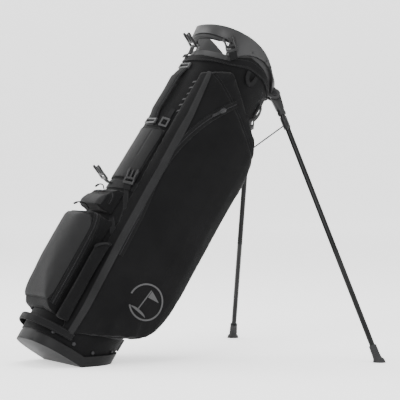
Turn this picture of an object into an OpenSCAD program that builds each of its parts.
// Golf stand bag, leaning on its two deployed legs.
// Every piece is drawn in the bag's own frame: +z runs up the bag's axis, +x points
// to the leg side and y runs across. bag_frame() then leans the bag about the crease
// of its base, so that the front half of the base lies flat on the ground, Z = 0.

/* [Stance] */
// Lean of the bag's axis from upright, degrees
lean = 32.5; // [30:0.5:35]
// Angle of each deployed leg from the bag's axis, degrees
spread = 47.8; // [47:0.1:48.5]
// Angle of each leg's fold plane from straight ahead, degrees
splay = 33.2; // [32:0.2:35]

/* [Body tube] */
// Half width of the tube, front to back
tube_a = 100; // [98:1:102]
// Half width of the tube, side to side
tube_b = 92; // [90:1:95]
// Thickness of the tube's stiffened fabric wall
wall = 3; // [2:0.5:4]
// Height of the tube's top edge at the back
tube_top = 742; // [730:1:750]

/* [Base] */
// Half width of the base, front to back
base_a = 99; // [98:0.5:101]
// Half width of the base, side to side
base_b = 98; // [97:0.5:99]
// Height of the base's outer band
band_h = 22; // [18:1:26]

/* [Legs] */
// Hinge pin from the tube's centre plane, sideways
hinge_y = 54; // [53:0.5:56]
// Hinge pin height
hinge_z = 769.5; // [768:0.5:771]
// Leg tube diameter
leg_d = 12; // [11:0.5:13]
// Leg length from the hinge to the ground
leg_len = 655; // [654:0.5:657]

/* [Pockets] */
// How far the side pockets stand out from the centre plane
side_out = 128; // [124:1:132]
// Half width of the ball pocket
ball_half = 66; // [64:1:68]

/* [Hidden] */
tube_foot = -17;
tube_tilt = 2;
base_x = -12;
hinge_x = 111.5;
ground_mid = 45;
gap = 0.3;
run = 0.05;
ball_x = -94;
pin_r = 2.5;
big = 400;
oval_p = 2.3;
inner = -wall - gap;
rod_x = tube_a + 7;
rod_top = 575;
rod_low = 100;
lever_r = 10;
lever_n = 9;
clip_s = 70;
clip_y = 12;
zip_r = 370;
zip_c = [379, 450];

// A rounded oval with half widths a and b; p above 2 makes it squarer.
function oval(a, b, p = oval_p, n = 56) = [for (i = [0:n - 1])
    let (t = 360 * (i + 0.5) / n)
    [a * sign(cos(t)) * pow(abs(cos(t)), 2 / p), b * sign(sin(t)) * pow(abs(sin(t)), 2 / p)]];

// Points along a cubic curve from p0 to p3.
function curve(p0, p1, p2, p3, n = 8) = [for (i = [0:n]) let (t = i / n, u = 1 - t)
    u * u * u * p0 + 3 * u * u * t * p1 + 3 * u * t * t * p2 + t * t * t * p3];

// Outline of a strap of thickness t along an open path.
function unit(v) = v / norm(v);
function normal_at(path, i) =
    let (d = unit(path[min(i + 1, len(path) - 1)] - path[max(i - 1, 0)])) [-d[1], d[0]];
function strap_outline(path, t) = concat(
    [for (i = [0:len(path) - 1]) path[i] + normal_at(path, i) * t / 2],
    [for (i = [len(path) - 1:-1:0]) path[i] - normal_at(path, i) * t / 2]);

// A point on the base's front facet, r along it from the crease and n above it.
function on_facet(r, n) = [r * cos(lean) - n * sin(lean), r * sin(lean) + n * cos(lean)];

module bag_frame() {
    translate([-ground_mid, 0, 0]) rotate([0, lean, 0]) children();
}

// A front-to-back outline (x, z), extruded sideways.
module side_view(width = big, y = 0) {
    translate([0, y, 0]) rotate([90, 0, 0]) linear_extrude(width, center = true) children();
}

module prism(a, b, x, low, high, p = oval_p) {
    translate([x, 0, low]) linear_extrude(high - low) polygon(oval(a, b, p));
}

// The tube's own frame: it stands two degrees forward of the bag's axis.
module tube_frame() {
    translate([tube_foot, 0, 0]) rotate([0, tube_tilt, 0]) children();
}

module tube_prism(grow, low, high) {
    tube_frame() prism(tube_a + grow, tube_b + grow, 0, low, high);
}

// A point of the tube's frame, in the bag's frame.
function off_tube(x, y, z) = [tube_foot + x * cos(tube_tilt) + z * sin(tube_tilt), y,
    z * cos(tube_tilt) - x * sin(tube_tilt)];

// A round bar between two points.
module bar(from, to, r) {
    v = to - from;
    translate(from)
        rotate([0, acos(v[2] / norm(v)), atan2(v[1], v[0])])
            cylinder(r = r, h = norm(v), $fn = 32);
}

// A round pin across the bag, centred on y = 0.
module cross_pin(x, z, r, half) {
    translate([x, 0, z]) rotate([90, 0, 0]) cylinder(r = r, h = 2 * half, center = true, $fn = 48);
}

// The underside of the base, raised by h: flat behind the crease, rising in front.
module above_base(h, top = 200) {
    rise = tan(lean);
    polygon([[-140, h], [-h * tan(lean / 2), h],
        [140, 140 * rise + h / cos(lean)], [140, top], [-140, top]]);
}

// ---- Base ----

module plate_slot() {
    translate([55, -4.5, 20]) cube([85, 9, 96]);
}

module base_shell() color("#3a3a3c") bag_frame() difference() {
    union() {
        intersection() {
            prism(base_a, base_b, base_x, -1, 140, 2.5);
            difference() {
                side_view() above_base(0);
                side_view() above_base(band_h);
            }
        }
        intersection() {
            tube_prism(inner, -5, 160);
            difference() {
                side_view() above_base(2);
                side_view() above_base(52);
            }
        }
    }
    difference() {
        tube_prism(inner - 4, -5, 200);
        difference() {
            side_view() above_base(-10);
            side_view() above_base(5);
        }
        for (y = [-74, 66]) rotate([0, -lean, 0]) translate([-2, y, 0]) cube([22, 8, 18]);
    }
    plate_area(10, 89, 56, -1, 12);
    translate([base_x + base_a - 3, -11, 20]) cube([20, 22, 90]);
    plate_slot();
    rotate([0, -lean, 0]) translate([lever_r, 0, lever_n]) rotate([90, 0, 0])
        cylinder(r = 2, h = 160, center = true, $fn = 48);
}

module base_rivets() color("#77777a") bag_frame() for (i = [0:11])
    let (t = 15 + 30 * i, foot = max(0, (tube_a * cos(t) - 14) * tan(lean)) + band_h + 11.5)
        if (abs(sin(t)) > 0.3) tube_frame() intersection() {
            translate([0, 0, foot]) rotate([0, 90, t]) cylinder(r = 4, h = 130, $fn = 24);
            linear_extrude(200) difference() {
                polygon(oval(tube_a + 1.8, tube_b + 1.8));
                polygon(oval(tube_a + 0.05, tube_b + 0.05));
            }
        }

// The ground plate's outline on the base's front facet, as a slab from n0 up.
module plate_area(r0, r1, half, n0, h) {
    intersection() {
        rotate([0, -lean, 0]) translate([r0 - 4, -half - 1, n0]) cube([r1 - r0 + 4, 2 * half + 2, h]);
        prism(base_a - 10, base_b - 10, base_x, -20, 120, 2.5);
    }
}

module base_plate() color("#262627") bag_frame() difference() {
    union() {
        intersection() {
            rotate([0, -lean, 0]) translate([lever_r, -55, 0]) cube([77, 110, 4.5]);
            prism(base_a - 11, base_b - 11, base_x, -20, 120, 2.5);
        }
        rotate([0, -lean, 0]) {
            for (y = [-36, 36]) translate([lever_r, y, lever_n]) rotate([90, 0, 0])
                cylinder(r = 5, h = 36, center = true, $fn = 48);
            rotate([90, 0, 0]) linear_extrude(6, center = true)
                polygon([[60, 0], [80, 0], [118, 14], [137, 25], [140, 38.5],
                    [98, 38.5], [93, 30], [84, 12], [60, 4.5]]);
        }
    }
    rotate([0, -lean, 0]) {
        translate([lever_r, 0, lever_n]) rotate([90, 0, 0])
            cylinder(r = 2 + run, h = 200, center = true, $fn = 48);
        translate([102.8, -10, 28]) cube([31, 20, 7.6]);
    }
}

module base_plate_pin() color("#b4b4b8") bag_frame() rotate([0, -lean, 0])
    translate([lever_r, 0, lever_n]) rotate([90, 0, 0])
        cylinder(r = 2, h = 148, center = true, $fn = 48);

module lower_handle() color("#29292a") bag_frame() difference() {
    half = curve([-93, -67], [-108, -64], [-133, -46], [-133, 0], 9);
    path = concat(half, [for (i = [len(half) - 2:-1:0]) [half[i][0], -half[i][1]]]);
    translate([0, 0, 36]) linear_extrude(17) polygon(strap_outline(path, 3));
    tube_prism(gap, 0, 200);
}

// ---- Tube and what stiffens it ----

module body_tube() color("#2b2b2c") bag_frame() difference() {
    tube_prism(0, -1, tube_top + 60);
    tube_prism(-wall, -2, tube_top + 61);
    difference() {
        side_view() polygon([[-200, -50], [200, -50], [200, 300], [-200, 300]]);
        side_view() above_base(band_h + gap, 301);
    }
    side_view() polygon([[-140, tube_top - 4], [0, tube_top + 25], [60, tube_top + 28],
        [140, tube_top + 10], [140, 900], [-140, 900]]);
    plate_slot();
    for (side = [-1, 1]) at_hinge(side) translate([-40, -15, -18]) cube([80, 30, 60]);
}

module spine_stay() color("#6d6d70") bag_frame() tube_frame() translate([0, 0, 140])
    linear_extrude(520) translate([-tube_a + wall + 1.2, -12]) square([2.5, 24]);

module side_stays() color("#6d6d70") bag_frame() tube_frame() for (side = [-1, 1])
    bar([0, side * (tube_b - wall - 4), 90], [0, side * (tube_b - wall - 4), 672], 3);

module divider_cross_bar() color("#222223") bag_frame() tube_frame()
    translate([-9, 0, 722]) linear_extrude(14)
        square([9, 2 * (tube_b + inner - 4.6)], center = true);

module divider_long_bar() color("#222223") bag_frame() tube_frame() {
    reach = tube_a + inner - 5.6;
    translate([0, 0, 722]) linear_extrude(14) {
        translate([-4.5 + gap, -4.5]) square([reach + 4.5 - gap, 9]);
        translate([-reach, -4.5]) square([reach - 13.5 - gap, 9]);
    }
}

module divider_cross_sheet() color("#303032") bag_frame() tube_frame()
    translate([-9, 0, 150]) linear_extrude(572 - gap)
        square([2, 2 * (tube_b + inner - 10)], center = true);

module divider_long_sheet() color("#303032") bag_frame() tube_frame()
    translate([-9, 0, 150]) linear_extrude(572 - gap) {
        translate([1.3, -1]) square([tube_a - 4, 2]);
        translate([-tube_a + 18, -1]) square([tube_a - 19.3, 2]);
    }

// ---- Collar ----

// Where the leg on one side is hinged: local x points out along the leg's fold.
module at_hinge(side) {
    translate([hinge_x, side * hinge_y, hinge_z]) rotate([0, 0, side * splay]) children();
}

module collar_ear(side) {
    at_hinge(side) rotate([90, 0, 0]) for (y = [-10.8, 10.8])
        translate([0, 0, y]) linear_extrude(5, center = true) {
            circle(r = 12, $fn = 48);
            polygon([[-3, 11.6], [-34, 24], [-34, -12], [-1, -11.9]]);
        }
}

// Upper edge of the collar seen from the side, from the front to the back.
collar_edge = concat(
    curve([118, 755], [108, 776], [92, 786], [70, 793], 5),
    curve([62, 797], [40, 812], [18, 826], [-16, 829], 5),
    curve([-30, 830], [-60, 829.5], [-84, 822], [-104, 815], 4));

module collar_body() {
    // Sleeve inside the tube and the rim on top of it.
    intersection() {
        tube_prism(inner, 690, 860);
        side_view() polygon([[-140, 690], [-140, tube_top + 10], [-40, tube_top + 30],
            [-20, 812], [20, 812], [60, 795], [140, 770], [140, 690]]);
    }
    // Outer plate, crowned at each side.
    intersection() {
        tube_prism(5.5, 690, 860);
        difference() {
            side_view() polygon(concat(collar_edge, [[-104, 780]],
                [[-58, 780], [-50, 768]],
                curve([-40, 768], [-22, 800], [30, 818], [72, 788], 6), [[92, 767], [104, 762]]));
            translate([-140, -big / 2, 690]) cube([80, big, 108]);
        }
    }
    // Loop handle round the back.
    intersection() {
        tube_prism(5.5, 780, 860);
        side_view() polygon(concat([for (p = collar_edge) if (p[0] < -15) p],
            [[-104, 797], [-58, 800], [-44, 794], [-20, 802]]));
    }
    for (side = [-1, 1]) collar_ear(side);
}

module top_collar() color("#3c3c3e") bag_frame() difference() {
    collar_body();
    tube_prism(inner - 4, 600, 900);
    for (side = [-1, 1]) at_hinge(side) {
        rotate([90, 0, 0]) cylinder(r = pin_r, h = 40, center = true, $fn = 48);
        translate([-14, -8.3, -60]) cube([60, 16.6, 90]);
    }
    // The window under the loop handle.
    translate([-140, -big / 2, tube_top + 27]) cube([88, big, 28]);
}

module collar_cuff() color("#232324") bag_frame() difference() {
    intersection() {
        tube_prism(4, 640, 860);
        side_view() polygon(concat([[-140, 714], [-92, 729]],
            curve([-66, 740], [-30, 750], [0, 771], [51, 767], 6), [[83, 754], [104, 730], [140, 722]],
            [[140, 738], [106, 740]],
            curve([90, 760], [70, 782], [34, 797], [-6, 794], 5),
            [[-30, 778], [-44, 760], [-60, 756], [-140, 737]]));
    }
    tube_prism(gap, 600, 900);
    for (side = [-1, 1]) at_hinge(side) translate([-42, -13.8, -46]) cube([80, 27.6, 80]);
}

module collar_rivets() color("#77777a") bag_frame() for (side = [-1, 1])
    for (p = [[-8, 804], [32, 808], [49, 802.8]])
        intersection() {
            translate([p[0], 0, p[1]]) rotate([-90 * side, 0, 0]) cylinder(r = 2.3, h = 130, $fn = 24);
            tube_frame() translate([0, 0, 700]) linear_extrude(150) difference() {
                polygon(oval(tube_a + 7, tube_b + 7));
                polygon(oval(tube_a + 5.5, tube_b + 5.5));
            }
        }

module handle_grip() color("#1c1c1d") bag_frame() intersection() {
    tube_prism(3.5, 700, 860);
    difference() {
        side_view() polygon([[-140, 790], [-70, 791], [-60, 797.6], [-104, 796.4], [-140, 795]]);
        tube_prism(inner - 2, 700, 860);
    }
}

module leg_hinge_pins() color("#b4b4b8") bag_frame() for (side = [-1, 1]) at_hinge(side)
    rotate([90, 0, 0]) cylinder(r = pin_r, h = 27.6, center = true, $fn = 48);

// ---- Back: handle, pad and pockets ----

module trunk_handle() color("#232324") bag_frame() tube_frame() side_view(34) polygon(concat(
    curve([-104, 571], [-112, 583], [-112, 691], [-104, 703], 8),
    curve([-100.6, 697], [-108.6, 685], [-108.6, 589], [-100.6, 577], 8)));

module trunk_handle_rings() color("#4a4a4c") bag_frame() tube_frame() for (z = [561, 712])
    translate([-tube_a - 3.2, 0, z]) difference() {
        cube([5, 46, 14], center = true);
        cube([6, 36, 6], center = true);
    }

module hip_pad() color("#5c5c5e") bag_frame() difference() {
    intersection() {
        tube_prism(4.5, 400, 570);
        tube_frame() translate([-130, -58, 412]) cube([80, 116, 134]);
    }
    tube_prism(gap, 300, 600);
}

ball_side = concat([[-80, 72]], curve([-108, 70], [-132, 72], [-140, 92], [-146, 120], 5),
    curve([-158, 200], [-162, 260], [-162, 306], [-138, 308], 6), [[-80, 312]]);

module ball_pocket() color("#2b2b2c") bag_frame() difference() {
    intersection() {
        side_view(2 * ball_half) polygon(ball_side);
        prism(64, ball_half, ball_x, 60, 330, 3.2);
    }
    tube_prism(gap, 0, 400);
}

module ball_pocket_panel() color("#5a5a5c") bag_frame() difference() {
    intersection() {
        side_view(2 * ball_half - 10) translate([-3, 0]) polygon(ball_side);
        side_view(200) polygon([[-230, 88], [-118, 88], [-128, 296], [-230, 296]]);
        prism(67, ball_half + 3, ball_x, 60, 330, 3.2);
    }
    intersection() {
        side_view(200) translate([-gap, 0]) polygon(ball_side);
        prism(64 + gap, ball_half + gap, ball_x, 50, 340, 3.2);
    }
}

module ball_pocket_zip() color("#1a1a1b") bag_frame() side_view(100)
    polygon([[-146, 307.6], [-118, 310.6], [-118, 313], [-146, 310]]);

// A zip slider and its pull: the zip runs along local y and the pull lies along -x.
module slider(w = 7) {
    translate([-w / 2, -5, 0]) cube([w, 10, 3]);
    translate([-22, -1.5, 1]) cube([20, 3, 1.6]);
}

module ball_zip_slider() color("#1a1a1b") bag_frame()
    translate([-132, -14, 312.6]) rotate([0, 6, 0]) slider();

valuables_side = [[-80, 322], [-128, 322], [-137, 326], [-137, 336], [-128, 356], [-116, 374],
    [-110, 380], [-80, 384]];

module valuables_pocket() color("#2b2b2c") bag_frame() difference() {
    intersection() {
        side_view(104) polygon(valuables_side);
        prism(60, 52, -92, 300, 420, 3.2);
    }
    tube_prism(gap, 200, 500);
}

module valuables_panel() color("#5a5a5c") bag_frame() difference() {
    intersection() {
        side_view(92) translate([-2.5, 0]) polygon(valuables_side);
        side_view(200) polygon([[-200, 330], [-120, 330], [-120, 355], [-200, 355]]);
        prism(62.5, 54.5, -92, 320, 420, 3.2);
    }
    intersection() {
        side_view(200) translate([-gap, 0]) polygon(valuables_side);
        prism(60 + gap, 52 + gap, -92, 290, 430, 3.2);
    }
}

module valuables_zip() color("#1a1a1b") bag_frame() side_view(80)
    polygon([[-117.3, 372.6], [-124.3, 362.1], [-125.4, 362.9], [-118.4, 373.4]]);

module valuables_zip_slider() color("#1a1a1b") bag_frame()
    translate([-122.2, -10, 368.5]) rotate([0, -56.3, 0]) slider(6);

// ---- Side pockets ----

pocket_plan = [[-86, -62], [-82, -76], [-72, -90], [10, -122], [58, -side_out], [98, -127],
    [123, -120], [131, -111], [127, -101], [112, -99], [98, -84], [60, -70], [-60, -50]];

pocket_side = concat([[-90, 42], [-69, 42], [6, 78]],
    curve([62, 100], [108, 118], [122, 160], [127, 250], 8),
    [[128, 371], [128, 453]],
    curve([131, 520], [130, 580], [110, 616], [94, 637], 5),
    [[62, 664], [20, 698], [-6, 722], [-24, 738]],
    [[-34, 738], [-90, 702]]);

module side_pocket() difference() {
    intersection() {
        linear_extrude(900) polygon(pocket_plan);
        side_view() polygon(pocket_side);
    }
    tube_prism(gap, 0, 900);
    prism(base_a + gap, base_b + gap, base_x, 0, 30, 2.5);
    prism(64 + gap, ball_half + gap, ball_x, 50, 340, 3.2);
    // Room for the cuff's lower edge.
    intersection() {
        tube_prism(4.5, 640, 860);
        side_view() polygon([[-140, 694], [-92, 704], [-66, 722], [-40, 740], [0, 766],
            [0, 860], [-140, 860]]);
    }
}

module right_side_pocket() color("#232324") bag_frame() side_pocket();

module left_side_pocket() color("#232324") bag_frame() mirror([0, 1, 0]) side_pocket();

module right_zip_flap() color("#4a4a4c") bag_frame() intersection() {
    side_view() polygon([[-88, 50], [-50, 50], [-50, 650], [-88, 690]]);
    linear_extrude(900) polygon([[-71.7, -90.5], [-56, -96.7], [-55.2, -99], [-72.6, -92.6]]);
}

// The pocket's flat rear face: local x runs forward along it, local y points out.
zip_face = atan2(-32, 82);

module on_zip_face() {
    translate([-72, -90, 0]) rotate([0, 0, zip_face]) children();
}

module right_pocket_zip() color("#1a1a1b") bag_frame() on_zip_face()
    translate([zip_c[0], -gap, zip_c[1]]) rotate([90, 0, 0]) intersection() {
        linear_extrude(1.6) difference() {
            circle(r = zip_r + 4, $fn = 180);
            circle(r = zip_r - 4, $fn = 180);
        }
        linear_extrude(4) polygon([[0, 0], [-400, 150], [-400, 360], [-300, 250]]);
    }

module right_pocket_slider() color("#2a2a2b") bag_frame() on_zip_face()
    translate([zip_c[0], -gap - 2.1, zip_c[1]]) rotate([0, 32, 0]) translate([-zip_r, 0, 0])
        rotate([90, 0, 0]) {
            translate([-4.5, -7, 0]) cube([9, 14, 3]);
            translate([-2.5, -30, 1]) cube([5, 24, 1.5]);
        }

module bottle_sleeve() color("#2b2b2c") bag_frame() difference() {
    intersection() {
        linear_extrude(300) polygon([[-90, -62], [-94, -67], [-103, -69],
            [-101, -82], [-89, -92], [-76, -90.6], [-85, -77]]);
        side_view() polygon([[-110, 66], [-70, 66], [-70, 262], [-84, 260], [-98, 250],
            [-110, 236]]);
    }
    tube_prism(gap, 0, 300);
    prism(64 + gap, ball_half + gap, ball_x, 50, 340, 3.2);
}

module glove_tab() color("#1a1a1b") bag_frame() tube_frame() rotate([0, 0, -42])
    translate([tube_a + 1.2, -8, 696]) cube([2.4, 16, 32]);

module towel_ring() color("#38383a") bag_frame() translate([-91.5, -46.5, 566]) rotate([0, 0, -63])
    rotate([90, 0, 0]) linear_extrude(3, center = true) difference() {
        square([22, 22], center = true);
        square([14, 13], center = true);
    }

// ---- Stand mechanism ----

module rod_guide() color("#38383a") bag_frame() tube_frame() translate([0, 0, 330]) difference() {
    translate([tube_a + gap, -10, 0]) cube([13, 20, 30]);
    translate([rod_x, 0, -1]) cylinder(r = pin_r + run, h = 32, $fn = 48);
}

module push_rod() color("#9a9a9e") bag_frame() tube_frame()
    translate([rod_x, 0, rod_low + 20]) cylinder(r = pin_r, h = rod_top - rod_low - 32, $fn = 48);

module rod_yoke() color("#38383a") bag_frame() tube_frame() {
    translate([rod_x - 4.5, -4, rod_top - 12]) cube([9, 8, 20]);
    for (side = [-1, 1]) translate([rod_x, side * 12, rod_top]) {
        sphere(r = 3, $fn = 48);
        rotate([side * 90, 0, 0]) cylinder(r = 1.4, h = 8, $fn = 32);
    }
}

module rod_shoe() color("#38383a") bag_frame() tube_frame() difference() {
    translate([rod_x - 5.8, -9, 91]) cube([12.4, 18, 29]);
    translate([90, -3.6, 80]) cube([40, 7.2, 34]);
    cross_pin(rod_x, rod_low, pin_r, 20);
}

module rod_pin() color("#b4b4b8") bag_frame() tube_frame() cross_pin(rod_x, rod_low, pin_r, 9);

// The leg's wire clip: a point beside the leg tube, in the bag's frame.
function turned(p, side) = [p[0] * cos(splay) - side * p[1] * sin(splay),
    side * p[0] * sin(splay) + p[1] * cos(splay), p[2]];
clip_local = [clip_s * sin(spread), 0, -clip_s * cos(spread)];

function clip_point(side) = [hinge_x, side * hinge_y, hinge_z] + turned(clip_local, side)
    + turned([0, -side * clip_y, 0], side);

module wire_arm(side) {
    eye = off_tube(rod_x, side * 12, rod_top);
    v = clip_point(side) - eye;
    difference() {
        translate(eye) rotate([0, acos(v[2] / norm(v)), atan2(v[1], v[0])])
            rotate_extrude($fn = 48) polygon([[0, -5], [3.4, -5], [5.5, -2.5], [5.5, 2.5],
                [3.4, 5.5], [1.5, 7], [1.5, norm(v) - 3], [2.6, norm(v) - 3],
                [2.6, norm(v) + 2], [0, norm(v) + 2]]);
        translate(eye) {
            sphere(r = 3.1, $fn = 48);
            rotate([side * 90, 0, 0]) cylinder(r = 3.05, h = 9, $fn = 48);
        }
    }
}

module right_wire() color("#8c8c90") bag_frame() wire_arm(-1);

module left_wire() color("#8c8c90") bag_frame() wire_arm(1);

// One leg hangs straight down from its hinge when folded; deployed() swings it out.
module deployed(side) {
    at_hinge(side) rotate([0, -spread, 0]) children();
}

module leg_fitting(side) color("#303032") bag_frame() deployed(side) difference() {
    union() {
        rotate([90, 0, 0]) linear_extrude(16, center = true) {
            circle(r = 12, $fn = 48);
            polygon([[-11.8, -2], [-8.8, -36], [8.8, -36], [11.8, -2]]);
        }
        translate([0, 0, -47]) cylinder(r = 8.8, h = 17, $fn = 48);
        translate([0, 0, -clip_s - 13]) cylinder(r = 7.6, h = 28, $fn = 48);
        translate([-7, side < 0 ? 8 : -11, -clip_s - 12]) cube([14, 3, 29]);
        translate([-7, side < 0 ? 0 : -9, -clip_s + 12]) cube([14, 9, 5]);
        translate([-7, side < 0 ? 0 : -9, -clip_s - 12]) cube([14, 9, 6]);
    }
    rotate([90, 0, 0]) cylinder(r = pin_r + run, h = 40, center = true, $fn = 48);
    translate([0, 0, -140]) cylinder(r = leg_d / 2, h = 104, $fn = 48);
    translate([-5, side < 0 ? 7.9 : -12, -clip_s - 4.5]) cube([10, 4.1, 16.5]);
}

module leg_tube(side) color("#303032") bag_frame() deployed(side)
    translate([0, 0, -leg_len + 26]) cylinder(r = leg_d / 2, h = leg_len - 62, $fn = 48);

module leg_foot(side) color("#1c1c1d") intersection() {
    bag_frame() deployed(side) translate([0, 0, -leg_len]) difference() {
        rotate_extrude($fn = 64) polygon(concat([[0, -20], [14, -20], [14, 0]],
            curve([13, 5], [9, 9], [8.5, 14], [8.5, 26], 5), [[8.5, 40], [0, 40]]));
        translate([0, 0, 26]) cylinder(r = leg_d / 2, h = 60, $fn = 48);
    }
    translate([0, -1000, 0]) cube([2000, 2000, 1000]);
}

module right_leg_fitting() leg_fitting(-1);
module right_leg_tube() leg_tube(-1);
module right_leg_foot() leg_foot(-1);
module left_leg_fitting() leg_fitting(1);
module left_leg_tube() leg_tube(1);
module left_leg_foot() leg_foot(1);

// ---- Strap fasteners ----

// The male half of a side-release buckle: bar at the origin, prongs along local z.
module buckle() {
    rotate([90, 0, 0]) difference() {
        linear_extrude(5, center = true) difference() {
            union() {
                translate([-13, -4]) square([26, 16]);
                for (side = [-1, 1]) polygon([[side * 7.5, 10], [side * 11.5, 10], [side * 13, 25],
                    [side * 11, 35], [side * 7.5, 30]]);
                translate([-1.5, 11]) square([3, 20]);
            }
            translate([-9.5, 2.2]) square([19, 5.6]);
        }
    }
}

// Where the two side buckles lie, flat against the collar and against the hip pad.
module at_collar_side() {
    translate([-52.8, -89.2, 780]) rotate([0, 0, -34]) rotate([0, -42, 0]) children();
}

module at_mid_side() {
    translate([-98.5, -54, 404]) rotate([0, 0, -60]) rotate([0, -6, 0]) children();
}

module collar_webbing() color("#1a1a1b") bag_frame() {
    translate([-90.3, 22, 758.2]) rotate([0, 2, 0]) cube([2, 18, 16.6], center = true);
    at_collar_side() translate([-9, -1, -14]) cube([18, 2, 8.8]);
}

module mid_webbing() color("#1a1a1b") bag_frame() {
    translate([-118.9, 8, 397]) cube([14.3, 20, 2]);
    at_mid_side() translate([-9, -1, -14]) cube([18, 2, 8.8]);
}

module collar_back_buckle() color("#2a2a2b") bag_frame()
    translate([-92, 22, 773]) rotate([0, -66, 0]) rotate([0, 0, 90]) buckle();

module collar_side_buckle() color("#2a2a2b") bag_frame() at_collar_side() buckle();

module mid_back_buckle() color("#2a2a2b") bag_frame()
    translate([-124, 18, 400]) rotate([0, -70, 0]) rotate([0, 0, 90]) buckle();

module mid_side_buckle() color("#2a2a2b") bag_frame() at_mid_side() buckle();

base_shell();
base_rivets();
base_plate();
base_plate_pin();
lower_handle();
body_tube();
spine_stay();
side_stays();
divider_cross_bar();
divider_long_bar();
divider_cross_sheet();
divider_long_sheet();
top_collar();
collar_cuff();
collar_rivets();
handle_grip();
leg_hinge_pins();
trunk_handle();
trunk_handle_rings();
hip_pad();
ball_pocket();
ball_pocket_panel();
ball_pocket_zip();
ball_zip_slider();
valuables_pocket();
valuables_panel();
valuables_zip();
valuables_zip_slider();
right_side_pocket();
left_side_pocket();
right_zip_flap();
right_pocket_zip();
right_pocket_slider();
bottle_sleeve();
glove_tab();
towel_ring();
rod_guide();
push_rod();
rod_yoke();
rod_shoe();
rod_pin();
right_wire();
left_wire();
right_leg_fitting();
right_leg_tube();
right_leg_foot();
left_leg_fitting();
left_leg_tube();
left_leg_foot();
collar_webbing();
mid_webbing();
collar_back_buckle();
collar_side_buckle();
mid_back_buckle();
mid_side_buckle();
